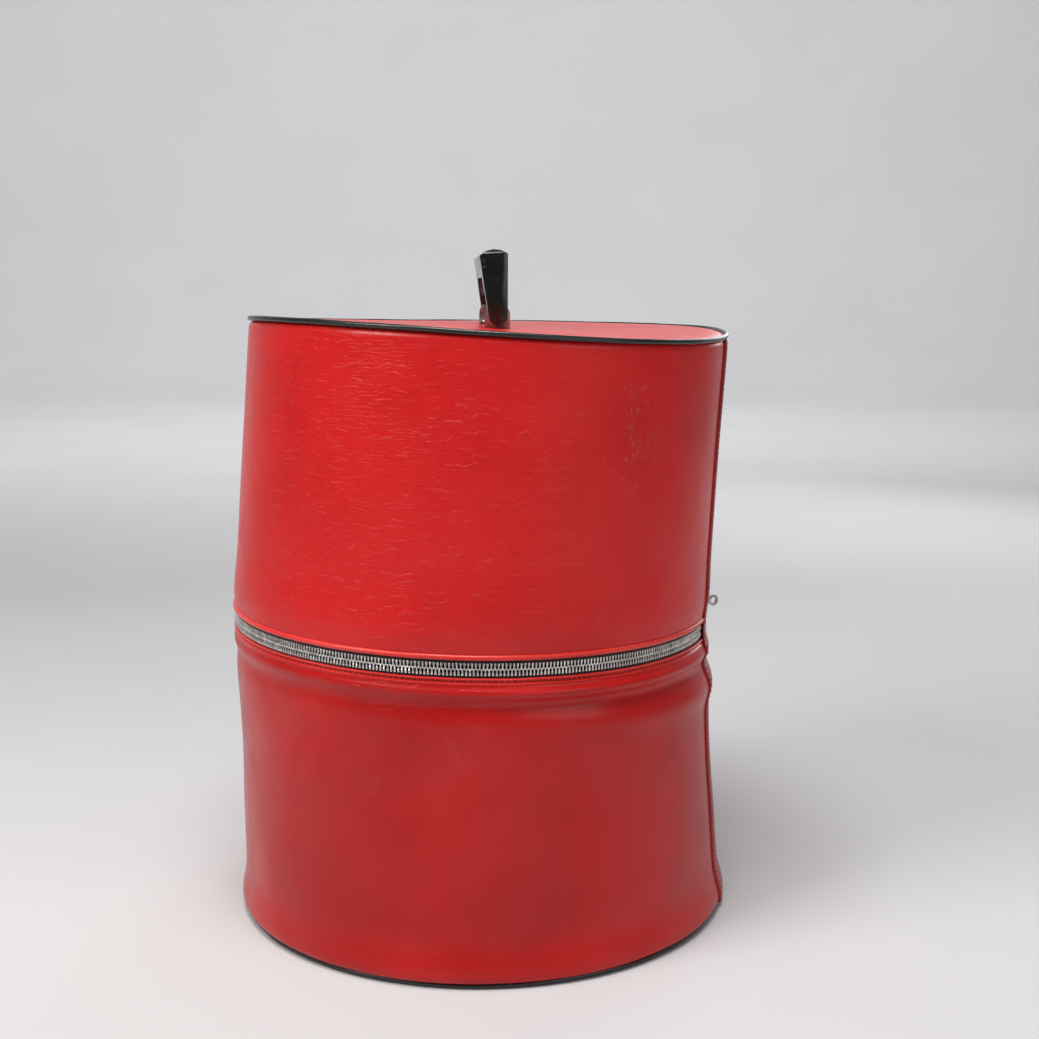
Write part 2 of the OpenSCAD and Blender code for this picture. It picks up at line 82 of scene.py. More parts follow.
def areaLight(name, place, target, size, power, tint):
    light = bpy.data.lights.new(name, "AREA")
    light.shape = "RECTANGLE"
    light.size, light.size_y = size
    light.energy = power
    light.color = tint
    lamp = bpy.data.objects.new(name, light)
    lamp.location = place
    lamp.rotation_euler = (Vector(target) - Vector(place)).to_track_quat("-Z", "Y").to_euler()
    bpy.context.scene.collection.objects.link(lamp)


lamps = dict(
    key=((0.75, -1.15, 1.3), (0, 0, 0.2), (0.7, 0.7), 16, (1, 0.98, 0.95)),
    fill=((1.2, 1.1, 0.8), (0, 0, 0.22), (1.0, 1.0), 4.2, (1, 0.98, 0.96)),
    overhead=((0.4, -0.1, 1.5), (0, 0, 0.2), (0.6, 0.6), 14.5, (1, 0.99, 0.97)),
    back=((-1.3, 0.8, 0.8), (0, 0, 0.25), (0.8, 0.8), 5, (1, 1, 1)),
    backdrop=((-1.7, 0, 2.2), (-5, 0, 0.9), (2.5, 1.2), 75, (1, 1, 1)),
)
for name, (place, target, size, power, tint) in lamps.items():
    areaLight(name, place, target, size, power, tint)

world = bpy.data.worlds.new("studio")
world.use_nodes = True
world.node_tree.nodes["Background"].inputs["Color"].default_value = (0.82, 0.84, 0.87, 1)
world.node_tree.nodes["Background"].inputs["Strength"].default_value = 0.28
bpy.context.scene.world = world


# ---- material building
class Wire:
    # one output of a node, so that sums on it read as sums

    def __init__(self, tree, socket):
        self.tree = tree
        self.socket = socket

    def sum(self, operation, other=None, swapped=False):
        node = self.tree.nodes.new("ShaderNodeMath")
        node.operation = operation
        for place, value in enumerate((other, self) if swapped else (self, other)):
            if value is not None:
                join(self.tree, node.inputs[place], value)
        return Wire(self.tree, node.outputs[0])

    def __add__(self, other):
        return self.sum("ADD", other)

    def __sub__(self, other):
        return self.sum("SUBTRACT", other)

    def __rsub__(self, other):
        return self.sum("SUBTRACT", other, swapped=True)

    def __mul__(self, other):
        return self.sum("MULTIPLY", other)

    __radd__ = __add__
    __rmul__ = __mul__

    def abs(self):
        return self.sum("ABSOLUTE")


def join(tree, socket, value):
    if isinstance(value, Wire):
        tree.links.new(value.socket, socket)
    else:
        socket.default_value = value


class Finish:
    # one material with its Principled shader

    def __init__(self, name, **surface):
        self.material = bpy.data.materials.new(name)
        self.material.use_nodes = True
        self.tree = self.material.node_tree
        self.shader = self.tree.nodes["Principled BSDF"]
        for key, value in surface.items():
            self.set(key, value)
        self.place = self.node("TexCoord", out="Object")

    def set(self, key, value):
        names = dict(color="Base Color", roughness="Roughness", metallic="Metallic", coat="Coat Weight",
                     coatRoughness="Coat Roughness", sheen="Sheen Weight", sheenRoughness="Sheen Roughness",
                     ior="IOR", specular="Specular IOR Level", normal="Normal")
        join(self.tree, self.shader.inputs[names[key]], value)

    def node(self, kind, settings=None, sockets=None, out=0):
        made = self.tree.nodes.new("ShaderNode" + kind)
        for key, value in (settings or {}).items():
            if key == "stops":
                ramp = made.color_ramp
                while len(ramp.elements) < len(value):
                    ramp.elements.new(0.5)
                for element, (position, shade) in zip(ramp.elements, value):
                    element.position = position
                    element.color = (*shade, 1) if isinstance(shade, tuple) else (shade, shade, shade, 1)
            else:
                setattr(made, key, value)
        for key, value in (sockets or {}).items():
            join(self.tree, made.inputs[key], value)
        return Wire(self.tree, made.outputs[out])

    def cloud(self, scale, detail=3.0, rough=0.5, twist=0.0):
        return self.node("TexNoise", None, {"Vector": self.place, "Scale": scale, "Detail": detail,
                                            "Roughness": rough, "Distortion": twist})

    def stretchedCloud(self, scales, detail=3.0, rough=0.5, twist=0.0, turn=(0, 0, 0)):
        place = self.node("Mapping", None, {"Vector": self.place, "Scale": scales, "Rotation": turn})
        return self.node("TexNoise", None, {"Vector": place, "Scale": 1.0, "Detail": detail,
                                            "Roughness": rough, "Distortion": twist})

    def cells(self, scale):
        return self.node("TexVoronoi", None, {"Vector": self.place, "Scale": scale})

    def waves(self, scale, axis="Z", twist=0.0, detail=0.0):
        return self.node("TexWave", {"bands_direction": axis},
                         {"Vector": self.place, "Scale": scale, "Distortion": twist, "Detail": detail})

    def between(self, value, low, high):      # 0 below low, 1 above high, smooth between
        return self.node("MapRange", {"interpolation_type": "SMOOTHSTEP"},
                         {"Value": value, "From Min": low, "From Max": high})

    def fade(self, value, near, far):         # 1 below near, 0 above far
        return 1 - self.between(value, near, far)

    def mix(self, share, a, b, way="MIX"):
        return self.node("Mix", {"data_type": "RGBA", "blend_type": way}, {0: share, 6: a, 7: b}, out=2)

    def farFrom(self, spot, squeeze=(1, 1, 1)):
        apart = self.node("VectorMath", {"operation": "SUBTRACT"}, {0: self.place, 1: spot})
        shaped = self.node("VectorMath", {"operation": "MULTIPLY"}, {0: apart, 1: squeeze})
        return self.node("VectorMath", {"operation": "LENGTH"}, {0: shaped}, out="Value")

    def relief(self, *layers):                # each layer: height, depth in metres
        normal = None
        for height, depth in layers:
            sockets = {"Height": height, "Distance": depth, "Strength": 1.0}
            if normal:
                sockets["Normal"] = normal
            normal = self.node("Bump", None, sockets)
        self.set("normal", normal)


def rgb(r, g, b):     # colours are named the way a paint chart gives them, 0 to 255
    shares = (r / 255, g / 255, b / 255)
    return tuple(((c + 0.055) / 1.055) ** 2.4 if c > 10 / 255 else c / 12.92 for c in shares) + (1,)


# the pale tone serves real wear patches and scratches, and also the painted glint on creases
def leatherCloth(name, tone, deep, wearAndGlintTone, gloss, creased):
    look = Finish(name, ior=1.5, specular=0.26, coatRoughness=0.2)
    grain = look.cells(880)
    grainFine = look.cloud(1900, 2)
    pores = look.cloud(420, 4, 0.6)
    patches = look.cloud(14, 3)
    blotch = look.cloud(42, 4, 0.6)
    colour = look.mix(look.between(patches, 0.35, 0.7), tone, deep)
    colour = look.mix(look.between(blotch, 0.6, 0.85) * 0.14, colour, wearAndGlintTone)
    colour = look.mix(look.between(pores, 0.62, 0.75) * 0.2, colour, deep)
    broken = look.between(look.stretchedCloud((120, 120, 330)), 0.48, 0.64)
    crease = look.between(look.waves(84, "Z", twist=9, detail=4), 0.84, 1.0) * broken
    fineBroken = look.between(look.stretchedCloud((160, 160, 520)), 0.46, 0.58)
    fineCrease = look.between(look.waves(170, "Z", twist=6, detail=3), 0.7, 1.0) * fineBroken
    if creased:
        worked = look.fade(look.farFrom((0.112, -0.06, 0.24), (1, 1, 1.05)), 0.05, 0.15)
        where = look.between(look.cloud(26, 4, 0.6), 0.26, 0.56) * (worked * 0.75 + 0.25)
        scuff = look.fade(look.farFrom((0.107, 0.069, 0.269), (1, 1, 0.55)), 0.006, 0.022)
        scratch = look.stretchedCloud((420, 420, 160), twist=0.5)
        scratch = look.fade((scratch - 0.5).abs(), 0.0, 0.035) * scuff
        scratch = scratch * look.between(look.cloud(90, 2), 0.44, 0.54)
        colour = look.mix(scratch * 0.5, colour, wearAndGlintTone)
    else:
        where = look.between(look.cloud(30, 3), 0.5, 0.7) * 0.5
        scratch = None
    # crease lines are tinted towards the pale tone: a painted glint along each crease
    colour = look.mix(crease * where * 0.13, colour, wearAndGlintTone)
    look.set("color", colour)
    look.set("roughness", (look.cloud(90, 4, 0.6) * 0.16 + (gloss - 0.08)) + crease * where * 0.15)
    look.set("coat", look.between(look.cloud(33, 2), 0.3, 0.7) * 0.16 + 0.08)
    layers = [(look.cloud(20, 2), 0.0011), (crease * where, 0.00013), (fineCrease * where, 0.00008),
              (grain * 0.6 + grainFine * 0.4, 0.00006)]
    if scratch:
        layers.append((scratch, 0.00022))
    look.relief(*layers)
    return look.material


def pipingVinyl():
    look = Finish("blackPiping", ior=1.5, coat=0.3, coatRoughness=0.2)
    rubbed = look.between(look.cloud(160, 4), 0.55, 0.75)
    look.set("color", look.mix(rubbed * 0.4, rgb(9, 8, 9), rgb(34, 30, 33)))
    look.set("roughness", look.cloud(220, 4) * 0.16 + 0.26)
    look.relief((look.cloud(130, 3), 0.0005), (look.cells(1100), 0.00005))
    return look.material


def zipTapeCloth():
    look = Finish("zipTape", sheen=0.35, sheenRoughness=0.5)
    weft = look.waves(300, "Z")
    warp = look.cells(1500)
    fuzz = look.cloud(1300, 5, 0.7)
    look.set("color", look.mix(look.between(fuzz, 0.5, 0.8), rgb(12, 11, 13), rgb(52, 46, 50)))
    look.set("roughness", fuzz * 0.2 + 0.75)
    look.relief((weft, 0.0002), (warp, 0.00015), (fuzz, 0.0002))
    return look.material


def nickel(name, bright, dull, rough, grime):
    look = Finish(name, metallic=1.0)
    wear = look.cloud(240, 4, 0.6)
    dirt = look.between(look.cloud(420, 4, 0.6), 0.55, 0.75) * grime
    metal = look.mix(look.between(wear, 0.35, 0.65), bright, dull)
    look.set("color", look.mix(dirt, metal, rgb(40, 36, 34)))
    look.set("roughness", look.cloud(700, 4, 0.6) * 0.25 + rough + dirt * 0.3)
    scratches = look.stretchedCloud((300, 2600, 900), turn=(0.3, 0.2, 0.6))
    look.relief((scratches, 0.00003), (look.cloud(900, 3), 0.00006))
    return look.material


def mouldedPlastic():
    look = Finish("handlePlastic", ior=1.49, specular=0.4, coat=0.3, coatRoughness=0.12)
    scuff = look.between(look.stretchedCloud((60, 260, 260), 4, 0.6, 0.6), 0.62, 0.74)
    bleached = look.between(look.cloud(35, 3), 0.45, 0.7)
    colour = look.mix(bleached * 0.5, rgb(11, 12, 12), rgb(30, 32, 29))
    look.set("color", look.mix(scuff * 0.2, colour, rgb(84, 76, 70)))
    look.set("roughness", look.cloud(300, 3) * 0.12 + 0.14 + scuff * 0.2)
    look.relief((look.cells(1400), 0.00002), (look.cloud(55, 2), 0.0006), (scuff * -1, 0.00005))
    return look.material


def liningCloth():
    look = Finish("liningCloth", sheen=0.5, sheenRoughness=0.4)
    nap = look.cloud(1500, 5, 0.7)
    rubbed = look.between(look.cloud(24, 4), 0.45, 0.75)
    colour = look.mix(rubbed * 0.5, rgb(17, 16, 18), rgb(44, 40, 42))
    look.set("color", look.mix(look.between(nap, 0.5, 0.75) * 0.5, colour, rgb(64, 58, 60)))
    look.set("roughness", nap * 0.15 + 0.8)
    look.relief((look.cloud(60, 3), 0.0008), (look.waves(260, "DIAGONAL"), 0.00012), (nap, 0.00025))
    return look.material


def pressedBoard():
    look = Finish("fibreboard")
    fibres = look.stretchedCloud((900, 900, 260), 5, 0.6, 0.6)
    specks = look.between(look.cloud(900, 3), 0.62, 0.7)
    colour = look.mix(look.between(fibres, 0.35, 0.65), rgb(120, 84, 52), rgb(158, 118, 78))
    look.set("color", look.mix(specks * 0.7, colour, rgb(70, 46, 30)))
    look.set("roughness", fibres * 0.2 + 0.7)
    look.relief((fibres, 0.00025))
    return look.material


def sewingThread(name, tone, dark):
    look = Finish(name, sheen=0.3, sheenRoughness=0.4)
    twist = look.waves(520, "DIAGONAL")
    look.set("color", look.mix(twist, dark, tone))
    look.set("roughness", look.cloud(800, 2) * 0.2 + 0.55)
    look.relief((twist, 0.0001))
    return look.material


def paleFloor():
    look = Finish("paleFloor")
    uneven = look.between(look.cloud(3, 4), 0.3, 0.7)
    look.set("color", look.mix(uneven, rgb(209, 209, 211), rgb(212, 212, 213)))
    look.set("roughness", look.cloud(40, 3) * 0.1 + 0.85)
    return look.material


reds = dict(       # main tone, deeper tone, pale tone for wear and for the painted glint on creases, roughness, creased
    redWall=("redLeathercloth", (208, 26, 26), (194, 19, 20), (236, 104, 98), 0.34, True),
    # darker copy of the wall cloth for the base: painted shade for the base's dimmer light
    redBasePaintedShade=("redLeatherclothBasePaintedShade", (186, 20, 18), (170, 14, 14), (228, 90, 84), 0.34, True),
    # paler, glossier copy of the wall cloth for the zip folds: its pink is a painted highlight along the
    # rolled edges
    redEdgePaintedHighlight=("redLeatherclothEdgePaintedHighlight", (226, 62, 56), (208, 40, 36), (240, 130, 122), 0.28, False),
    redFlat=("redLeatherclothFlat", (208, 38, 35), (192, 28, 27), (234, 104, 94), 0.38, False),
    redStrip=("darkRedStrip", (160, 22, 24), (134, 14, 17), (200, 66, 60), 0.38, False),
)
finishes = {key: leatherCloth(name, rgb(*tone), rgb(*deep), rgb(*wearAndGlintTone), gloss, creased)
            for key, (name, tone, deep, wearAndGlintTone, gloss, creased) in reds.items()}
finishes.update(
    piping=pipingVinyl(),
    tape=zipTapeCloth(),
    teeth=nickel("zipMetal", rgb(232, 230, 226), rgb(196, 193, 190), 0.24, 0.35),
    slider=nickel("sliderMetal", rgb(200, 197, 192), rgb(158, 152, 148), 0.16, 0.3),
    steel=nickel("bracketSteel", rgb(190, 184, 180), rgb(140, 132, 128), 0.2, 0.45),
    plastic=mouldedPlastic(),
    lining=liningCloth(),
    board=pressedBoard(),
    redThread=sewingThread("redThread", rgb(176, 34, 32), rgb(92, 10, 12)),
    floor=paleFloor(),
)
print("finishes made:", len(finishes))

studio = dict(flat=3.4, curve=1.6, high=5.5)       # a floor that curves up into a wall all round


def makeFloor():
    bm = bmesh.new()
    rim = [(0, 0), (1, 0), (studio["flat"], 0)]
    for i in range(1, 13):
        a = math.pi / 2 * i / 12
        rim.append((studio["flat"] + studio["curve"] * math.sin(a), studio["curve"] * (1 - math.cos(a))))
    rim.append((studio["flat"] + studio["curve"], studio["high"]))
    row = [bm.verts.new((x, 0, z)) for x, z in rim]
    for a, b in zip(row, row[1:]):
        bm.edges.new((a, b))
    bmesh.ops.spin(bm, geom=bm.verts[:] + bm.edges[:], cent=(0, 0, 0), axis=(0, 0, 1), angle=fullTurn,
                   steps=96, use_merge=True)
    bmesh.ops.remove_doubles(bm, verts=bm.verts[:], dist=1e-5)
    bmesh.ops.recalc_face_normals(bm, faces=bm.faces[:])
    for face in bm.faces:
        face.smooth = True
    floor = bpy.data.objects.new("floor", bpy.data.meshes.new("floor"))
    bm.to_mesh(floor.data)
    bm.free()
    bpy.context.scene.collection.objects.link(floor)
    floor.data.materials.append(finishes["floor"])


makeFloor()


# ---- places read from the frame
def boxSize(node):
    low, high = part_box(node)
    return high - low


def boxMiddle(node):
    low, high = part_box(node)
    return (low + high) / 2


def faceUp(node):          # the way the node's largest upward face looks
    upward = [p for p in nodes[node].data.polygons if p.normal.z > 0.9]
    return max(upward, key=lambda p: p.area).normal.normalized()


zipAt = Vector(joints["slider_travel"]["pos_m"])
zipUp = Vector(joints["slider_travel"]["axis"]).normalized()
topUp = faceUp("lid_top_cover")
case = dict(
    cover=0.9 * mm,
    board=2.5 * mm,
    lining=0.8 * mm,
    gap=0.05 * mm,
    baseRim=128.2 * mm,         # outside of the base wall at the zip
    lidRim=128.6 * mm,          # outside of the lid wall at the zip
    zipDrum=127.15 * mm,        # middle of the zip's teeth
    stripFrom=math.radians(72),
    stripTo=math.radians(108),
)
case["piping"] = boxSize("base_piping").z / 2
case["pipingIn"] = 0.2 * mm      # how far the piping's middle lies inside the wall's face
case["baseFoot"] = boxSize("base_piping").x / 2 - case["piping"] + case["pipingIn"]
case["lidTop"] = boxSize("lid_piping").x / 2 - case["piping"] + case["pipingIn"]
wallFoot = 2 * case["piping"] + 0.4 * mm
wallHead = 0.4 * mm - 2 * case["piping"]
topAt = boxMiddle("lid_top_cover") + topUp * case["cover"] / 2
floorPlane = (Vector((0, 0, 0)), Vector((0, 0, 1)))
zipPlane = (zipAt, zipUp)
topPlane = (topAt, topUp)


def standingOn(place, up, forward=Vector((1, 0, 0))):     # frame with its Z along up
    side = up.cross(forward).normalized()
    turned = Matrix((side.cross(up).normalized(), side, up)).transposed()
    return Matrix.Translation(place) @ turned.to_4x4()


baseTall = zipAt.length
lidTall = (topAt - zipAt).length
onBase = standingOn(Vector((0, 0, 0)), zipAt.normalized())
onLid = standingOn(zipAt, (topAt - zipAt).normalized())
onZip = standingOn(zipAt, zipUp)
onTop = standingOn(topAt, topUp)


def hump(x, middle, width):
    return math.exp(-((x - middle) / width) ** 2)


def turnedFrom(angle, middle):       # smallest angle between two directions, in degrees
    return abs((math.degrees(angle) - middle + 180) % 360 - 180)


sag = dict(       # how the worn walls have given, in mm
    foot=2.9, footHigh=6, footReach=11,
    waist=-0.9, waistHigh=88, waistReach=26,
    ridge=2.7, ridgeDown=12, ridgeReach=3.4,
    groove=-2.0, grooveDown=18.5, grooveReach=4.2,
    belly=2.4, bellyDown=31, bellyReach=7,
    lidSwell=0.7, uneven=0.35,
)


def baseGive(angle, spot):
    high = spot.z / mm
    down = -(spot - zipAt).dot(zipUp) / mm
    side = hump(turnedFrom(angle, 66), 0, 34)
    slump = 0.3 + 0.7 * hump(turnedFrom(angle, 24), 0, 46)
    quiet = min(1, max(0, (down - 7) / 3))
    give = sag["foot"] * hump(high, sag["footHigh"], sag["footReach"])
    give += sag["waist"] * hump(high, sag["waistHigh"], sag["waistReach"])
    give += quiet * slump * sag["ridge"] * hump(down, sag["ridgeDown"], sag["ridgeReach"])
    give += quiet * slump * sag["groove"] * hump(down, sag["grooveDown"], sag["grooveReach"])
    give += (0.1 + side) * sag["belly"] * hump(down, sag["bellyDown"], sag["bellyReach"])
    give += quiet * sag["uneven"] * noise.noise(spot * 22)
    return give * mm


rimWarp = dict(saddle=1.8 * mm, back=2.2 * mm, reach=75 * mm, flat=60 * mm)     # the worn rim isn't level


def risen(spot):           # a point of the lid after it has warped; the middle of the top stays level
    up = (spot - topAt).dot(topUp)
    across = spot - topAt - topUp * up
    outer = min(1, max(0, (across.length - rimWarp["flat"]) / (case["lidTop"] - rimWarp["flat"])))
    upper = min(1, max(0, 1 + up / rimWarp["reach"]))
    share = outer * outer * (3 - 2 * outer) * upper * upper * (3 - 2 * upper)
    angle = math.atan2(across.y, across.x)
    lift = rimWarp["back"] * hump(turnedFrom(angle, 97), 0, 33) - rimWarp["saddle"] * math.sin(2 * angle)
    return spot + topUp * lift * share


def lidGive(angle, spot):
    up = (spot - zipAt).dot(zipUp) / mm
    quiet = min(1, max(0, (up - 7) / 8)) * min(1, max(0, (lidTall / mm - up - 4) / 10))
    give = sag["lidSwell"] * hump(up, 18, 14) * quiet
    give += quiet * sag["uneven"] * noise.noise(spot * 18 + Vector((3, 1, 0)))
    give += quiet * 0.5 * hump(up, 95, 40) * hump(turnedFrom(angle, -50), 0, 40)
    return give * mm


halves = dict(
    base=dict(frame=onBase, low=case["baseFoot"], high=case["baseRim"], tall=baseTall, give=baseGive),
    lid=dict(frame=onLid, low=case["lidRim"], high=case["lidTop"], tall=lidTall, give=lidGive),
)


def wallSpot(half, angle, along, out=0.0, give=False):
    shell = halves[half]
    r = shell["low"] + (shell["high"] - shell["low"]) * along / shell["tall"]
    spot = shell["frame"] @ Vector((r * math.cos(angle), r * math.sin(angle), along))
    if give:
        out += shell["give"](angle, spot)
    if out:
        spot += (shell["frame"].to_3x3() @ Vector((math.cos(angle), math.sin(angle), 0))) * out
    return risen(spot) if half == "lid" and along > shell["tall"] / 3 else spot


def wallMeets(half, angle, plane, offset):       # how far along the half's axis its wall meets a plane
    start = (wallSpot(half, angle, 0) - plane[0]).dot(plane[1])
    rise = (wallSpot(half, angle, 0.1) - plane[0]).dot(plane[1]) - start
    return (offset - start) / rise * 0.1


drum = 128.4 * mm      # bands and rings are made on a straight drum of this radius, then wrapped on


def wrapOn(bm, half, plane=zipPlane, give=False):
    for v in bm.verts:
        angle = math.atan2(v.co.y, v.co.x)
        out = v.co.xy.length - drum
        v.co = wallSpot(half, angle, wallMeets(half, angle, plane, v.co.z), out, give)


def spunProfile(points, fromAngle, toAngle, steps, closed=False):
    bm = bmesh.new()
    row = [bm.verts.new((x, 0, z)) for x, z in points]
    for a, b in zip(row, row[1:]):
        bm.edges.new((a, b))
    if closed:
        bm.edges.new((row[-1], row[0]))
    bmesh.ops.rotate(bm, verts=bm.verts[:], cent=(0, 0, 0), matrix=Matrix.Rotation(fromAngle, 3, "Z"))
    whole = abs(toAngle - fromAngle - fullTurn) < 1e-6
    bmesh.ops.spin(bm, geom=bm.verts[:] + bm.edges[:], cent=(0, 0, 0), axis=(0, 0, 1),
                   angle=toAngle - fromAngle, steps=steps, use_merge=whole)
    if closed and not whole:
        bmesh.ops.holes_fill(bm, edges=[e for e in bm.edges if e.is_boundary], sides=0)
    tidy(bm)
    return bm


def tidy(bm):
    bmesh.ops.remove_doubles(bm, verts=bm.verts[:], dist=1e-6)
    bmesh.ops.recalc_face_normals(bm, faces=bm.faces[:])


def makePiece(bm, name, body, finish, stands=(), modifiers=(), sharp=40):
    for face in bm.faces:
        face.smooth = True
    for edge in bm.edges:
        if len(edge.link_faces) == 2 and edge.calc_face_angle(0) > math.radians(sharp):
            edge.smooth = False
    mesh = bpy.data.meshes.new(name)
    bm.to_mesh(mesh)
    bm.free()
    mesh.materials.append(finishes[finish])
    piece = bpy.data.objects.new(name, mesh)
    bpy.context.scene.collection.objects.link(piece)
    for kind, settings in modifiers:
        modifier = piece.modifiers.new(kind.lower(), kind)
        for key, value in settings.items():
            setattr(modifier, key, value)
    if stands:
        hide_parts(*stands)
    if body:
        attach(piece, body)
    return piece


def inwards(thickness):
    return ("SOLIDIFY", dict(thickness=thickness, offset=-1, use_even_offset=True))


# ---- walls: leathercloth outside, board between, cloth inside
boardOut = -(case["cover"] + case["gap"])
liningOut = boardOut - case["board"] - case["gap"]
roll = dict(inwards=1.5 * mm, over=3 * mm, baseZip=-0.25 * mm, lidZip=0.2 * mm)    # the cloth's rolled ends
layers = dict(     # stops: over the floor, below the zip, above the zip, under the lid's top
    # the base's skin takes the darker cloth copy, painted shade
    Skin=dict(stops=(wallFoot, -7.15 * mm, 7.25 * mm, wallHead), out=0, thick=case["cover"], rows=72,
              steps=300, node="cover", slot="red_leathercloth", base="redBasePaintedShade", lid="redWall"),
    Board=dict(stops=(4.1 * mm, -7.2 * mm, 7.3 * mm, -4.1 * mm), out=boardOut, thick=case["board"], rows=40,
               steps=160, node="board", slot="fibreboard", base="board", lid="board"),
    Cloth=dict(stops=(4.85 * mm, -7.15 * mm, 7.25 * mm, -4.9 * mm), out=liningOut, thick=case["lining"],
               rows=40, steps=160, node="lining", slot="black_lining", base="lining", lid="lining"),
)


def wallTube(half, layer, rollLow=0.0, rollHigh=0.0):
    floorStop, belowZip, aboveZip, topStop = layer["stops"]
    low, high = (floorPlane, floorStop), (zipPlane, belowZip)
    if half == "lid":
        low, high = (zipPlane, aboveZip), (topPlane, topStop)
    heights = [0.5 - 0.5 * math.cos(math.pi * i / layer["rows"]) for i in range(layer["rows"] + 1)]
    bm = spunProfile([(1, h) for h in heights], 0, fullTurn, layer["steps"])
    for v in bm.verts:
        angle = math.atan2(v.co.y, v.co.x)
        foot = wallMeets(half, angle, *low)
        head = wallMeets(half, angle, *high)
        along = foot + (head - foot) * v.co.z
        rolled = rollLow * max(0, 1 - (along - foot) / roll["over"]) ** 2
        rolled += rollHigh * max(0, 1 - (head - along) / roll["over"]) ** 2
        v.co = wallSpot(half, angle, along, layer["out"] - rolled, True)
    tidy(bm)
    return bm


rolls = dict(base=(roll["inwards"], roll["baseZip"]), lid=(roll["lidZip"], roll["inwards"]))
for name, layer in layers.items():
    for half in ("base", "lid"):
        ends = rolls[half] if name == "Skin" else ()
        makePiece(wallTube(half, layer, *ends), half + "Wall" + name, half, layer[half],
                  [half + "_wall_" + layer["node"]], [inwards(layer["thick"])])
print("walls made")


# ---- discs of the floor and the top
def disc(r, edgeDrop, ripple, rings=30, steps=160, seed=0.0):
    points = [(r * (i / rings) ** 0.8, 0) for i in range(rings + 1)]
    bm = spunProfile(points, 0, fullTurn, steps)
    for v in bm.verts:
        share = v.co.xy.length / r
        v.co.z = -edgeDrop * max(0, (share - 0.94) / 0.06) ** 2
        v.co.z += ripple * noise.noise(v.co * 24 + Vector((seed, 0, 0))) * (1 - share ** 4)
    bmesh.ops.recalc_face_normals(bm, faces=bm.faces[:])
    if sum(f.normal.z for f in bm.faces) < 0:
        bmesh.ops.reverse_faces(bm, faces=bm.faces[:])
    return bm


def placed(bm, matrix):
    bmesh.ops.transform(bm, matrix=matrix, verts=bm.verts[:])
    return bm


def withWarp(bm):
    for v in bm.verts:
        v.co = risen(v.co)
    return bm


discs = dict(board=3 * mm, topEdge=1.1 * mm, topRipple=0.3 * mm, clear=0.1 * mm, topClothIn=4.6 * mm,
             floorClothIn=2.0 * mm)
topR = case["lidTop"] - case["piping"] - discs["clear"]
makePiece(withWarp(placed(disc(topR, discs["topEdge"], discs["topRipple"]), onTop)),
          "lidTopSkin", "lid", "redFlat", ["lid_top_cover"],
          [inwards(case["cover"] * 0.9)])
topBoard = disc(boxSize("lid_top_board").x / 2, discs["topEdge"], discs["topRipple"], 30, 120)
makePiece(withWarp(placed(topBoard, onTop @ Matrix.Translation((0, 0, -case["cover"] - case["gap"])))),
          "lidTopBoard", "lid", "board", ["lid_top_board"], [inwards(discs["board"])])
topLiningUp = -(case["cover"] + discs["board"] + 2 * case["gap"])
makePiece(withWarp(placed(disc(case["lidTop"] - discs["topClothIn"], 0, 0.15 * mm, 30, 96, 5),
                          onTop @ Matrix.Translation((0, 0, topLiningUp)))),
          "lidTopCloth", "lid", "lining", ["lid_top_lining"], [inwards(case["lining"])])
floorR = case["baseFoot"] - case["piping"] - discs["clear"]
under = disc(floorR, 0, 0, 20, 160)
bmesh.ops.reverse_faces(under, faces=under.faces[:])
makePiece(under, "baseUnderSkin", "base", "redFlat", ["base_bottom_cover"],
          [inwards(case["cover"])])
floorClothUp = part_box("base_floor_lining")[1].z
makePiece(placed(disc(case["baseFoot"] - discs["floorClothIn"], 0, 0.1 * mm, 20, 96, 9),
                 Matrix.Translation((0, 0, floorClothUp))),
          "baseFloorCloth", "base", "lining", ["base_floor_lining"],
          [inwards(case["lining"])])
print("discs made")


# ---- piping round both outer edges
def pipingRing(r, height, matrix, seed):
    points = [(r + case["piping"] * math.cos(a), height + case["piping"] * math.sin(a))
              for a in (fullTurn * i / 16 for i in range(16))]
    bm = spunProfile(points, 0, fullTurn, 320, closed=True)
    for v in bm.verts:
        spread = v.co.xy.normalized()
        wobble = noise.noise(Vector((spread.x * 6, spread.y * 6, seed))) * 0.35 * mm
        v.co.x += spread.x * wobble
        v.co.y += spread.y * wobble
        v.co.z += noise.noise(Vector((spread.x * 5, spread.y * 5, seed + 4))) * 0.25 * mm
    return placed(bm, matrix)


makePiece(pipingRing(case["baseFoot"] - case["pipingIn"], case["piping"] + 0.3 * mm, Matrix.Identity(4), 1),
          "basePiping", "base", "piping", ["base_piping"])
makePiece(withWarp(pipingRing(case["lidTop"] - case["pipingIn"], 0.5 * mm - case["piping"], onTop, 7)),
          "lidPiping", "lid", "piping", ["lid_piping"])
print("piping made")


# ---- folded edges along the zip
fold = dict(high=2.8 * mm, front=1.3 * mm, behind=1.62 * mm, deep=4.3 * mm, lidUp=4.4 * mm,
            baseDown=4.3 * mm, steps=280)
foldFrom = case["stripTo"] + math.radians(0.3)
foldTo = case["stripFrom"] + fullTurn - math.radians(0.3)


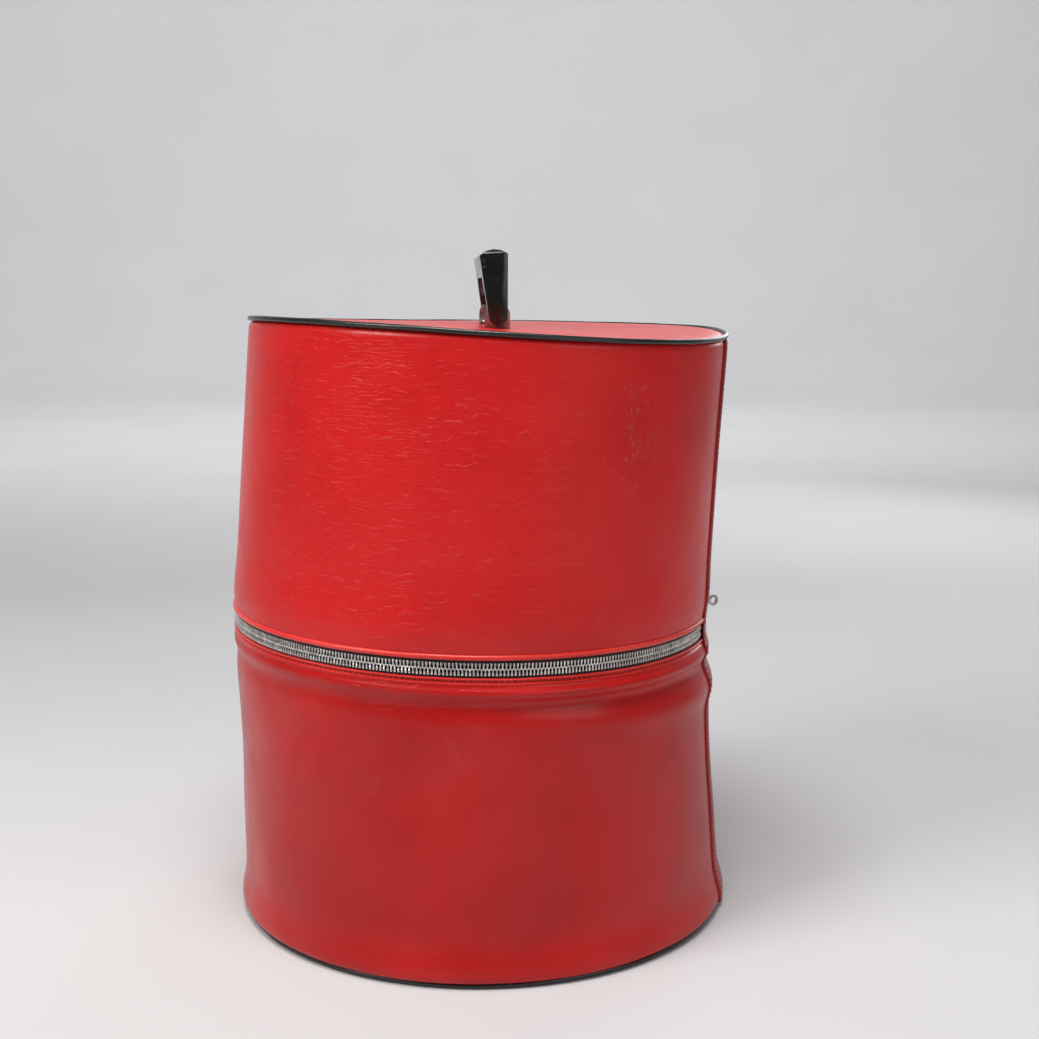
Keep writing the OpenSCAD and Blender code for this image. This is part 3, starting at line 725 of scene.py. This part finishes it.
def foldedEdge(half, low):
    high = low + fold["high"]
    if half == "lid":      # a rounded hem, its sewn edge at the top
        face = ((0, -0.55), (0.06, 0.15), (0.18, 0.55), (0.36, 0.85), (0.55, 0.95), (0.74, 0.8), (0.9, 0.35),
                (1, -0.25))
    else:                  # a thin lip along the tape, then the groove that the seam has pulled in
        face = ((1, -0.55), (0.97, 0.15), (0.9, 0.5), (0.8, 0.42), (0.7, -0.2), (0.55, -0.8), (0.38, -0.9),
                (0.2, -0.5), (0.08, 0.0), (0, 0.4))
    points = [(drum + out * mm, low + share * fold["high"]) for share, out in face]
    points = sorted(points, key=lambda p: p[1])
    points += [(drum - fold["front"], high), (drum - fold["front"], low)]
    bm = spunProfile(points, foldFrom, foldTo, fold["steps"], closed=True)
    for v in bm.verts:
        ripple = noise.noise(Vector((v.co.x * 60, v.co.y * 60, low * 900)))
        v.co.z += 0.18 * mm * ripple
    wrapOn(bm, half)
    return bm


def innerEdge(half, low):                     # the same fold seen from inside
    high = low + fold["high"]
    front, back = drum - fold["behind"], drum - fold["deep"]
    points = [(front, low), (front, high), (back + 0.5 * mm, high), (back, high - 0.7 * mm),
              (back, low + 0.7 * mm), (back + 0.5 * mm, low)]
    bm = spunProfile(points, foldFrom, foldTo, 200, closed=True)
    wrapOn(bm, half)
    return bm


foldLows = dict(lid=fold["lidUp"], base=-fold["baseDown"] - fold["high"])
for half, low in foldLows.items():
    # the folds take the paler cloth copy, a painted highlight on their rolled edges
    makePiece(foldedEdge(half, low), half + "ZipFold", half, "redEdgePaintedHighlight",
              [half + "_zip_edge"])
for half, low in foldLows.items():
    makePiece(innerEdge(half, low), half + "ZipFoldInside", half, "redWall")
print("folded edges made")

# ---- zip tapes
tape = dict(deep=14 * mm, tip=1.9 * mm, thick=0.6 * mm, sunk=0.95 * mm)
lidZipFrom = math.radians(115.2)
lidZipTo = fullTurn + math.pi - lidZipFrom


def tapeBand(half, low, high, fromAngle, toAngle):
    rows = 10
    points = [(drum - tape["sunk"], low + (high - low) * i / rows) for i in range(rows + 1)]
    bm = spunProfile(points, fromAngle, toAngle, max(8, int((toAngle - fromAngle) * 40)))
    wrapOn(bm, half)
    return bm


makePiece(tapeBand("lid", tape["tip"], tape["deep"], lidZipFrom, lidZipTo), "lidZipTape", "lid",
          "tape", ["zip_tape_upper"], [inwards(tape["thick"])])
makePiece(tapeBand("base", -tape["deep"], -tape["tip"], case["stripTo"], case["stripFrom"] + fullTurn),
          "baseZipTape", "base", "tape", ["zip_tape_lower"], [inwards(tape["thick"])])
endTapes = tapeBand("lid", tape["tip"], 4.1 * mm, case["stripTo"] + 0.002, math.radians(115))
whole = endTapes.verts[:] + endTapes.edges[:] + endTapes.faces[:]
copied = bmesh.ops.duplicate(endTapes, geom=whole)["geom"]
bmesh.ops.scale(endTapes, vec=(-1, 1, 1), verts=[g for g in copied if isinstance(g, bmesh.types.BMVert)])
bmesh.ops.reverse_faces(endTapes, faces=[g for g in copied if isinstance(g, bmesh.types.BMFace)])
makePiece(endTapes, "zipEndTapes", "base", "tape", ["zip_end_tapes"], [inwards(tape["thick"])])
print("tapes made")

# ---- zip teeth
tooth = dict(pitch=1.8 * mm, wide=1.05 * mm, headWide=0.85 * mm, thick=2.2 * mm, root=3.1 * mm,
             neck=1.25 * mm, tip=0.35 * mm, soft=0.14 * mm)
toothStep = tooth["pitch"] / case["zipDrum"]
firstTooth = math.radians(109.6)
toothCount = int((fullTurn + math.pi - 2 * firstTooth) / toothStep) + 1


def oneTooth():
    t = tooth
    bm = bmesh.new()
    bmesh.ops.create_cube(bm, size=1)
    bmesh.ops.scale(bm, vec=(t["thick"], t["wide"], t["root"] + t["tip"]), verts=bm.verts[:])
    bmesh.ops.translate(bm, vec=(0, 0, (t["root"] - t["tip"]) / 2), verts=bm.verts[:])
    for height in (t["neck"], t["neck"] + 0.35 * mm):
        bmesh.ops.bisect_plane(bm, geom=bm.verts[:] + bm.edges[:] + bm.faces[:], plane_co=(0, 0, height),
                               plane_no=(0, 0, 1))
    for v in bm.verts:
        if v.co.z < t["neck"] + 0.01 * mm:
            v.co.y *= t["headWide"] / t["wide"]
            v.co.x *= 0.93
    outline = [e for e in bm.edges if e.calc_face_angle(0) > math.radians(30)]
    bmesh.ops.bevel(bm, geom=outline, offset=t["soft"], segments=1, profile=0.5, affect="EDGES",
                    material=-1)
    return bm


def teethRow(fromAngle, count, upper):
    bm = oneTooth()
    if not upper:
        bmesh.ops.rotate(bm, verts=bm.verts[:], cent=(0, 0, 0), matrix=Matrix.Rotation(math.pi, 3, "X"))
    bmesh.ops.translate(bm, vec=(case["zipDrum"], 0, 0), verts=bm.verts[:])
    bmesh.ops.rotate(bm, verts=bm.verts[:], cent=(0, 0, 0), matrix=Matrix.Rotation(fromAngle, 3, "Z"))
    bmesh.ops.spin(bm, geom=bm.verts[:] + bm.edges[:] + bm.faces[:], cent=(0, 0, 0), axis=(0, 0, 1),
                   angle=toothStep * (count - 1), steps=count - 1, use_duplicate=True)
    return placed(bm, onZip)


def joinInto(bm, other):
    spare = bpy.data.meshes.new("spare")
    other.to_mesh(spare)
    other.free()
    bm.from_mesh(spare)
    bpy.data.meshes.remove(spare)


upperFirst = firstTooth + toothStep / 2
atEnd = int((math.radians(114.9) - upperFirst) / toothStep) + 1        # upper teeth that stay with the base
lidTeeth = toothCount - 1 - 2 * atEnd
makePiece(teethRow(firstTooth, toothCount, False), "baseZipTeeth", "base", "teeth",
          ["zip_teeth_lower"], sharp=60)
makePiece(teethRow(upperFirst + atEnd * toothStep, lidTeeth, True), "lidZipTeeth", "lid",
          "teeth", ["zip_teeth_upper"], sharp=60)
endTeeth = teethRow(upperFirst, atEnd, True)
joinInto(endTeeth, teethRow(upperFirst + (atEnd + lidTeeth) * toothStep, atEnd, True))
makePiece(endTeeth, "zipEndTeeth", "base", "teeth", ["zip_end_teeth"], sharp=60)


def zipStops():
    bm = bmesh.new()
    for angle in (math.radians(108.85), math.radians(71.15)):
        for up, tall in ((1.9 * mm, 2.5 * mm), (-1.5 * mm, 3.0 * mm)):
            block = bmesh.ops.create_cube(bm, size=1)["verts"]
            bmesh.ops.scale(bm, vec=(2.6 * mm, 1.9 * mm, tall), verts=block)
            bmesh.ops.translate(bm, vec=(case["zipDrum"], 0, up), verts=block)
            bmesh.ops.rotate(bm, verts=block, cent=(0, 0, 0), matrix=Matrix.Rotation(angle, 3, "Z"))
    bmesh.ops.bevel(bm, geom=bm.edges[:], offset=0.55 * mm, segments=3, profile=0.5, affect="EDGES",
                    material=-1)
    return placed(bm, onZip)


makePiece(zipStops(), "zipEndStops", "base", "slider", ["zip_end_stops"])
print("teeth made:", toothCount, "in a row")

# ---- the strip that hinges the lid
strip = dict(thick=0.9 * mm, across=36, rowsLow=70, rowsHigh=70, bend=5 * mm)


def hingeStrip():
    bm = bmesh.new()
    rows = strip["rowsLow"] + strip["rowsHigh"]
    bmesh.ops.create_grid(bm, x_segments=strip["across"], y_segments=rows, size=1)
    for v in bm.verts:
        share, level = v.co.x, v.co.y
        angle = math.pi / 2 - share * (case["stripTo"] - case["stripFrom"]) / 2
        edge = max(0, (abs(share) - 0.96) / 0.04)
        out = 0.95 * mm - 0.45 * mm * edge ** 2
        out += 0.35 * mm * hump(abs(share), 0.93, 0.03)          # the hem is folded under
        if level < 0:
            foot = wallMeets("base", angle, floorPlane, wallFoot + 0.1 * mm)
            head = wallMeets("base", angle, zipPlane, 0)
            v.co = wallSpot("base", angle, head + (foot - head) * -level, out, True)
        else:
            foot = wallMeets("lid", angle, zipPlane, 0)
            head = wallMeets("lid", angle, topPlane, wallHead - 0.1 * mm)
            v.co = wallSpot("lid", angle, foot + (head - foot) * level, out, True)
    middle = [v for v in bm.verts if abs((v.co - zipAt).dot(zipUp)) < 9 * mm]
    for _ in range(4):
        bmesh.ops.smooth_vert(bm, verts=middle, factor=0.5, use_axis_x=True, use_axis_y=True,
                              use_axis_z=True)
    bmesh.ops.recalc_face_normals(bm, faces=bm.faces[:])
    if sum(f.normal.y for f in bm.faces) < 0:
        bmesh.ops.reverse_faces(bm, faces=bm.faces[:])
    return bm


hinge = makePiece(hingeStrip(), "hingeStrip", None, "redStrip",
                  ["hinge_strip_lower", "hinge_strip_bend", "hinge_strip_upper"], [inwards(strip["thick"])])
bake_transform(hinge)


def hingeCloth():
    bm = bmesh.new()
    bmesh.ops.create_grid(bm, x_segments=24, y_segments=28, size=1)
    for v in bm.verts:
        angle = math.pi / 2 - v.co.x * math.radians(19)
        half = "base" if v.co.y < 0 else "lid"
        along = wallMeets(half, angle, zipPlane, v.co.y * 16 * mm)
        v.co = wallSpot(half, angle, along, liningOut - case["lining"] - case["gap"])
    bmesh.ops.recalc_face_normals(bm, faces=bm.faces[:])
    if sum(f.normal.y for f in bm.faces) < 0:
        bmesh.ops.reverse_faces(bm, faces=bm.faces[:])
    return bm


inner = makePiece(hingeCloth(), "hingeCloth", None, "lining",
                  ["hinge_lining_lower", "hinge_lining_upper"], [inwards(case["lining"])])
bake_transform(inner)
print("hinge made")


# ---- sewn seams
stitch = dict(long=2.2 * mm, thick=0.55 * mm, pitch=3.0 * mm)


def seamRound(half, up, out, fromAngle, toAngle):
    bm = bmesh.new()
    bmesh.ops.create_icosphere(bm, subdivisions=1, radius=0.5)
    bmesh.ops.scale(bm, vec=(stitch["thick"] * 0.8, stitch["long"], stitch["thick"]), verts=bm.verts[:])
    bmesh.ops.translate(bm, vec=(drum + out, 0, up), verts=bm.verts[:])
    bmesh.ops.rotate(bm, verts=bm.verts[:], cent=(0, 0, 0), matrix=Matrix.Rotation(fromAngle, 3, "Z"))
    count = int((toAngle - fromAngle) * drum / stitch["pitch"])
    bmesh.ops.spin(bm, geom=bm.verts[:] + bm.edges[:] + bm.faces[:], cent=(0, 0, 0), axis=(0, 0, 1),
                   angle=toAngle - fromAngle, steps=count, use_duplicate=True)
    wrapOn(bm, half)
    return bm


seamFrom, seamTo = foldFrom + 0.01, foldTo - 0.01
makePiece(seamRound("lid", fold["lidUp"] + fold["high"] + 0.2 * mm, -0.3 * mm, seamFrom, seamTo),
          "lidZipSeam", "lid", "redThread")
makePiece(seamRound("base", -fold["baseDown"] - fold["high"] * 0.62, -0.6 * mm, seamFrom, seamTo),
          "baseZipSeam", "base", "redThread")


fray = dict(count=420, long=1.0 * mm, thick=0.16 * mm)


def frayedThreads():
    bm = bmesh.new()
    for i in range(fray["count"]):
        chance = noise.cell_vector(Vector((i * 7.3, 2.1, 0.4)))
        angle = foldFrom + 0.02 + (foldTo - foldFrom - 0.04) * (i + chance.x * 0.5 + 0.5) / fray["count"]
        clump = 0.35 + 0.9 * abs(noise.noise(Vector((angle * 5, 0, 0))))
        long = fray["long"] * clump * (0.7 + 0.6 * abs(chance.y))
        thread = bmesh.ops.create_cone(bm, segments=4, cap_ends=True, radius1=fray["thick"] / 2,
                                       radius2=fray["thick"] / 3, depth=long)["verts"]
        lean = Matrix.Rotation(chance.z * 0.9, 3, "X") @ Matrix.Rotation(-0.25, 3, "Y")
        bmesh.ops.rotate(bm, verts=thread, cent=(0, 0, 0), matrix=lean)
        root = fold["lidUp"] + 0.25 * mm
        bmesh.ops.translate(bm, vec=(drum - 0.45 * mm, 0, root - long / 2), verts=thread)
        bmesh.ops.rotate(bm, verts=thread, cent=(0, 0, 0), matrix=Matrix.Rotation(angle, 3, "Z"))
    wrapOn(bm, "lid")
    return bm


makePiece(frayedThreads(), "lidFrayedThreads", "lid", "tape")


def seamUp(side):
    bm = bmesh.new()
    angle = math.pi / 2 + side * (case["stripTo"] - case["stripFrom"]) / 2 * 0.89
    runs = (("base", (floorPlane, 7 * mm), (zipPlane, -4 * mm)),
            ("lid", (zipPlane, 4 * mm), (topPlane, -7 * mm)))
    for half, low, high in runs:
        foot = wallMeets(half, angle, *low)
        head = wallMeets(half, angle, *high)
        count = int((head - foot) / stitch["pitch"])
        for i in range(count + 1):
            spot = wallSpot(half, angle, foot + (head - foot) * i / count, 1.1 * mm, True)
            made = bmesh.ops.create_icosphere(bm, subdivisions=1, radius=0.5)["verts"]
            bmesh.ops.scale(bm, vec=(stitch["thick"], stitch["thick"], stitch["long"]), verts=made)
            bmesh.ops.translate(bm, vec=spot, verts=made)
    return bm


for side, name in ((-1, "hingeSeamRight"), (1, "hingeSeamLeft")):
    seam = makePiece(seamUp(side), name, None, "redThread")
    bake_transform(seam)
print("seams made")


# ---- hard parts: slider, pull, handle and its brackets
def softened(node, width, segments, angle=28):
    bm = bmesh.new()
    bm.from_mesh(nodes[node].data)
    bmesh.ops.remove_doubles(bm, verts=bm.verts[:], dist=2e-6)
    bmesh.ops.dissolve_limit(bm, angle_limit=math.radians(0.6), verts=bm.verts[:], edges=bm.edges[:])
    edges = [e for e in bm.edges if len(e.link_faces) == 2 and e.calc_face_angle(0) > math.radians(angle)]
    bmesh.ops.bevel(bm, geom=edges, offset=width, segments=segments, profile=0.5, affect="EDGES",
                    material=-1, clamp_overlap=True)
    return bm


hardParts = dict(
    zip_slider=("zipSlider", "slider", "slider_metal", "slider", 0.3 * mm, 3),
    zip_pull=("zipPull", "pull", "slider_metal", "slider", 0.28 * mm, 3),
    handle_grip=("handleGrip", "handle", "handle_plastic", "plastic", 0.55 * mm, 3),
    handle_bracket_right=("bracketRight", "lid", "bracket_steel", "steel", 0.25 * mm, 2),
    handle_bracket_left=("bracketLeft", "lid", "bracket_steel", "steel", 0.25 * mm, 2),
    handle_pins=("handlePins", "lid", "bracket_steel", "steel", 0.25 * mm, 2),
    handle_rivets=("handleRivets", "lid", "bracket_steel", "steel", 0.2 * mm, 2),
    handle_backing_plates=("backingPlates", "lid", "bracket_steel", "steel", 0.2 * mm, 2),
)
for node, (name, body, slot, finish, width, segments) in hardParts.items():
    makePiece(softened(node, width, segments), name, body, finish, [node])
print("hard parts made:", len(hardParts))

floorBoard = nodes["base_floor_board"].data
floorBoard.materials.clear()
floorBoard.materials.append(finishes["board"])
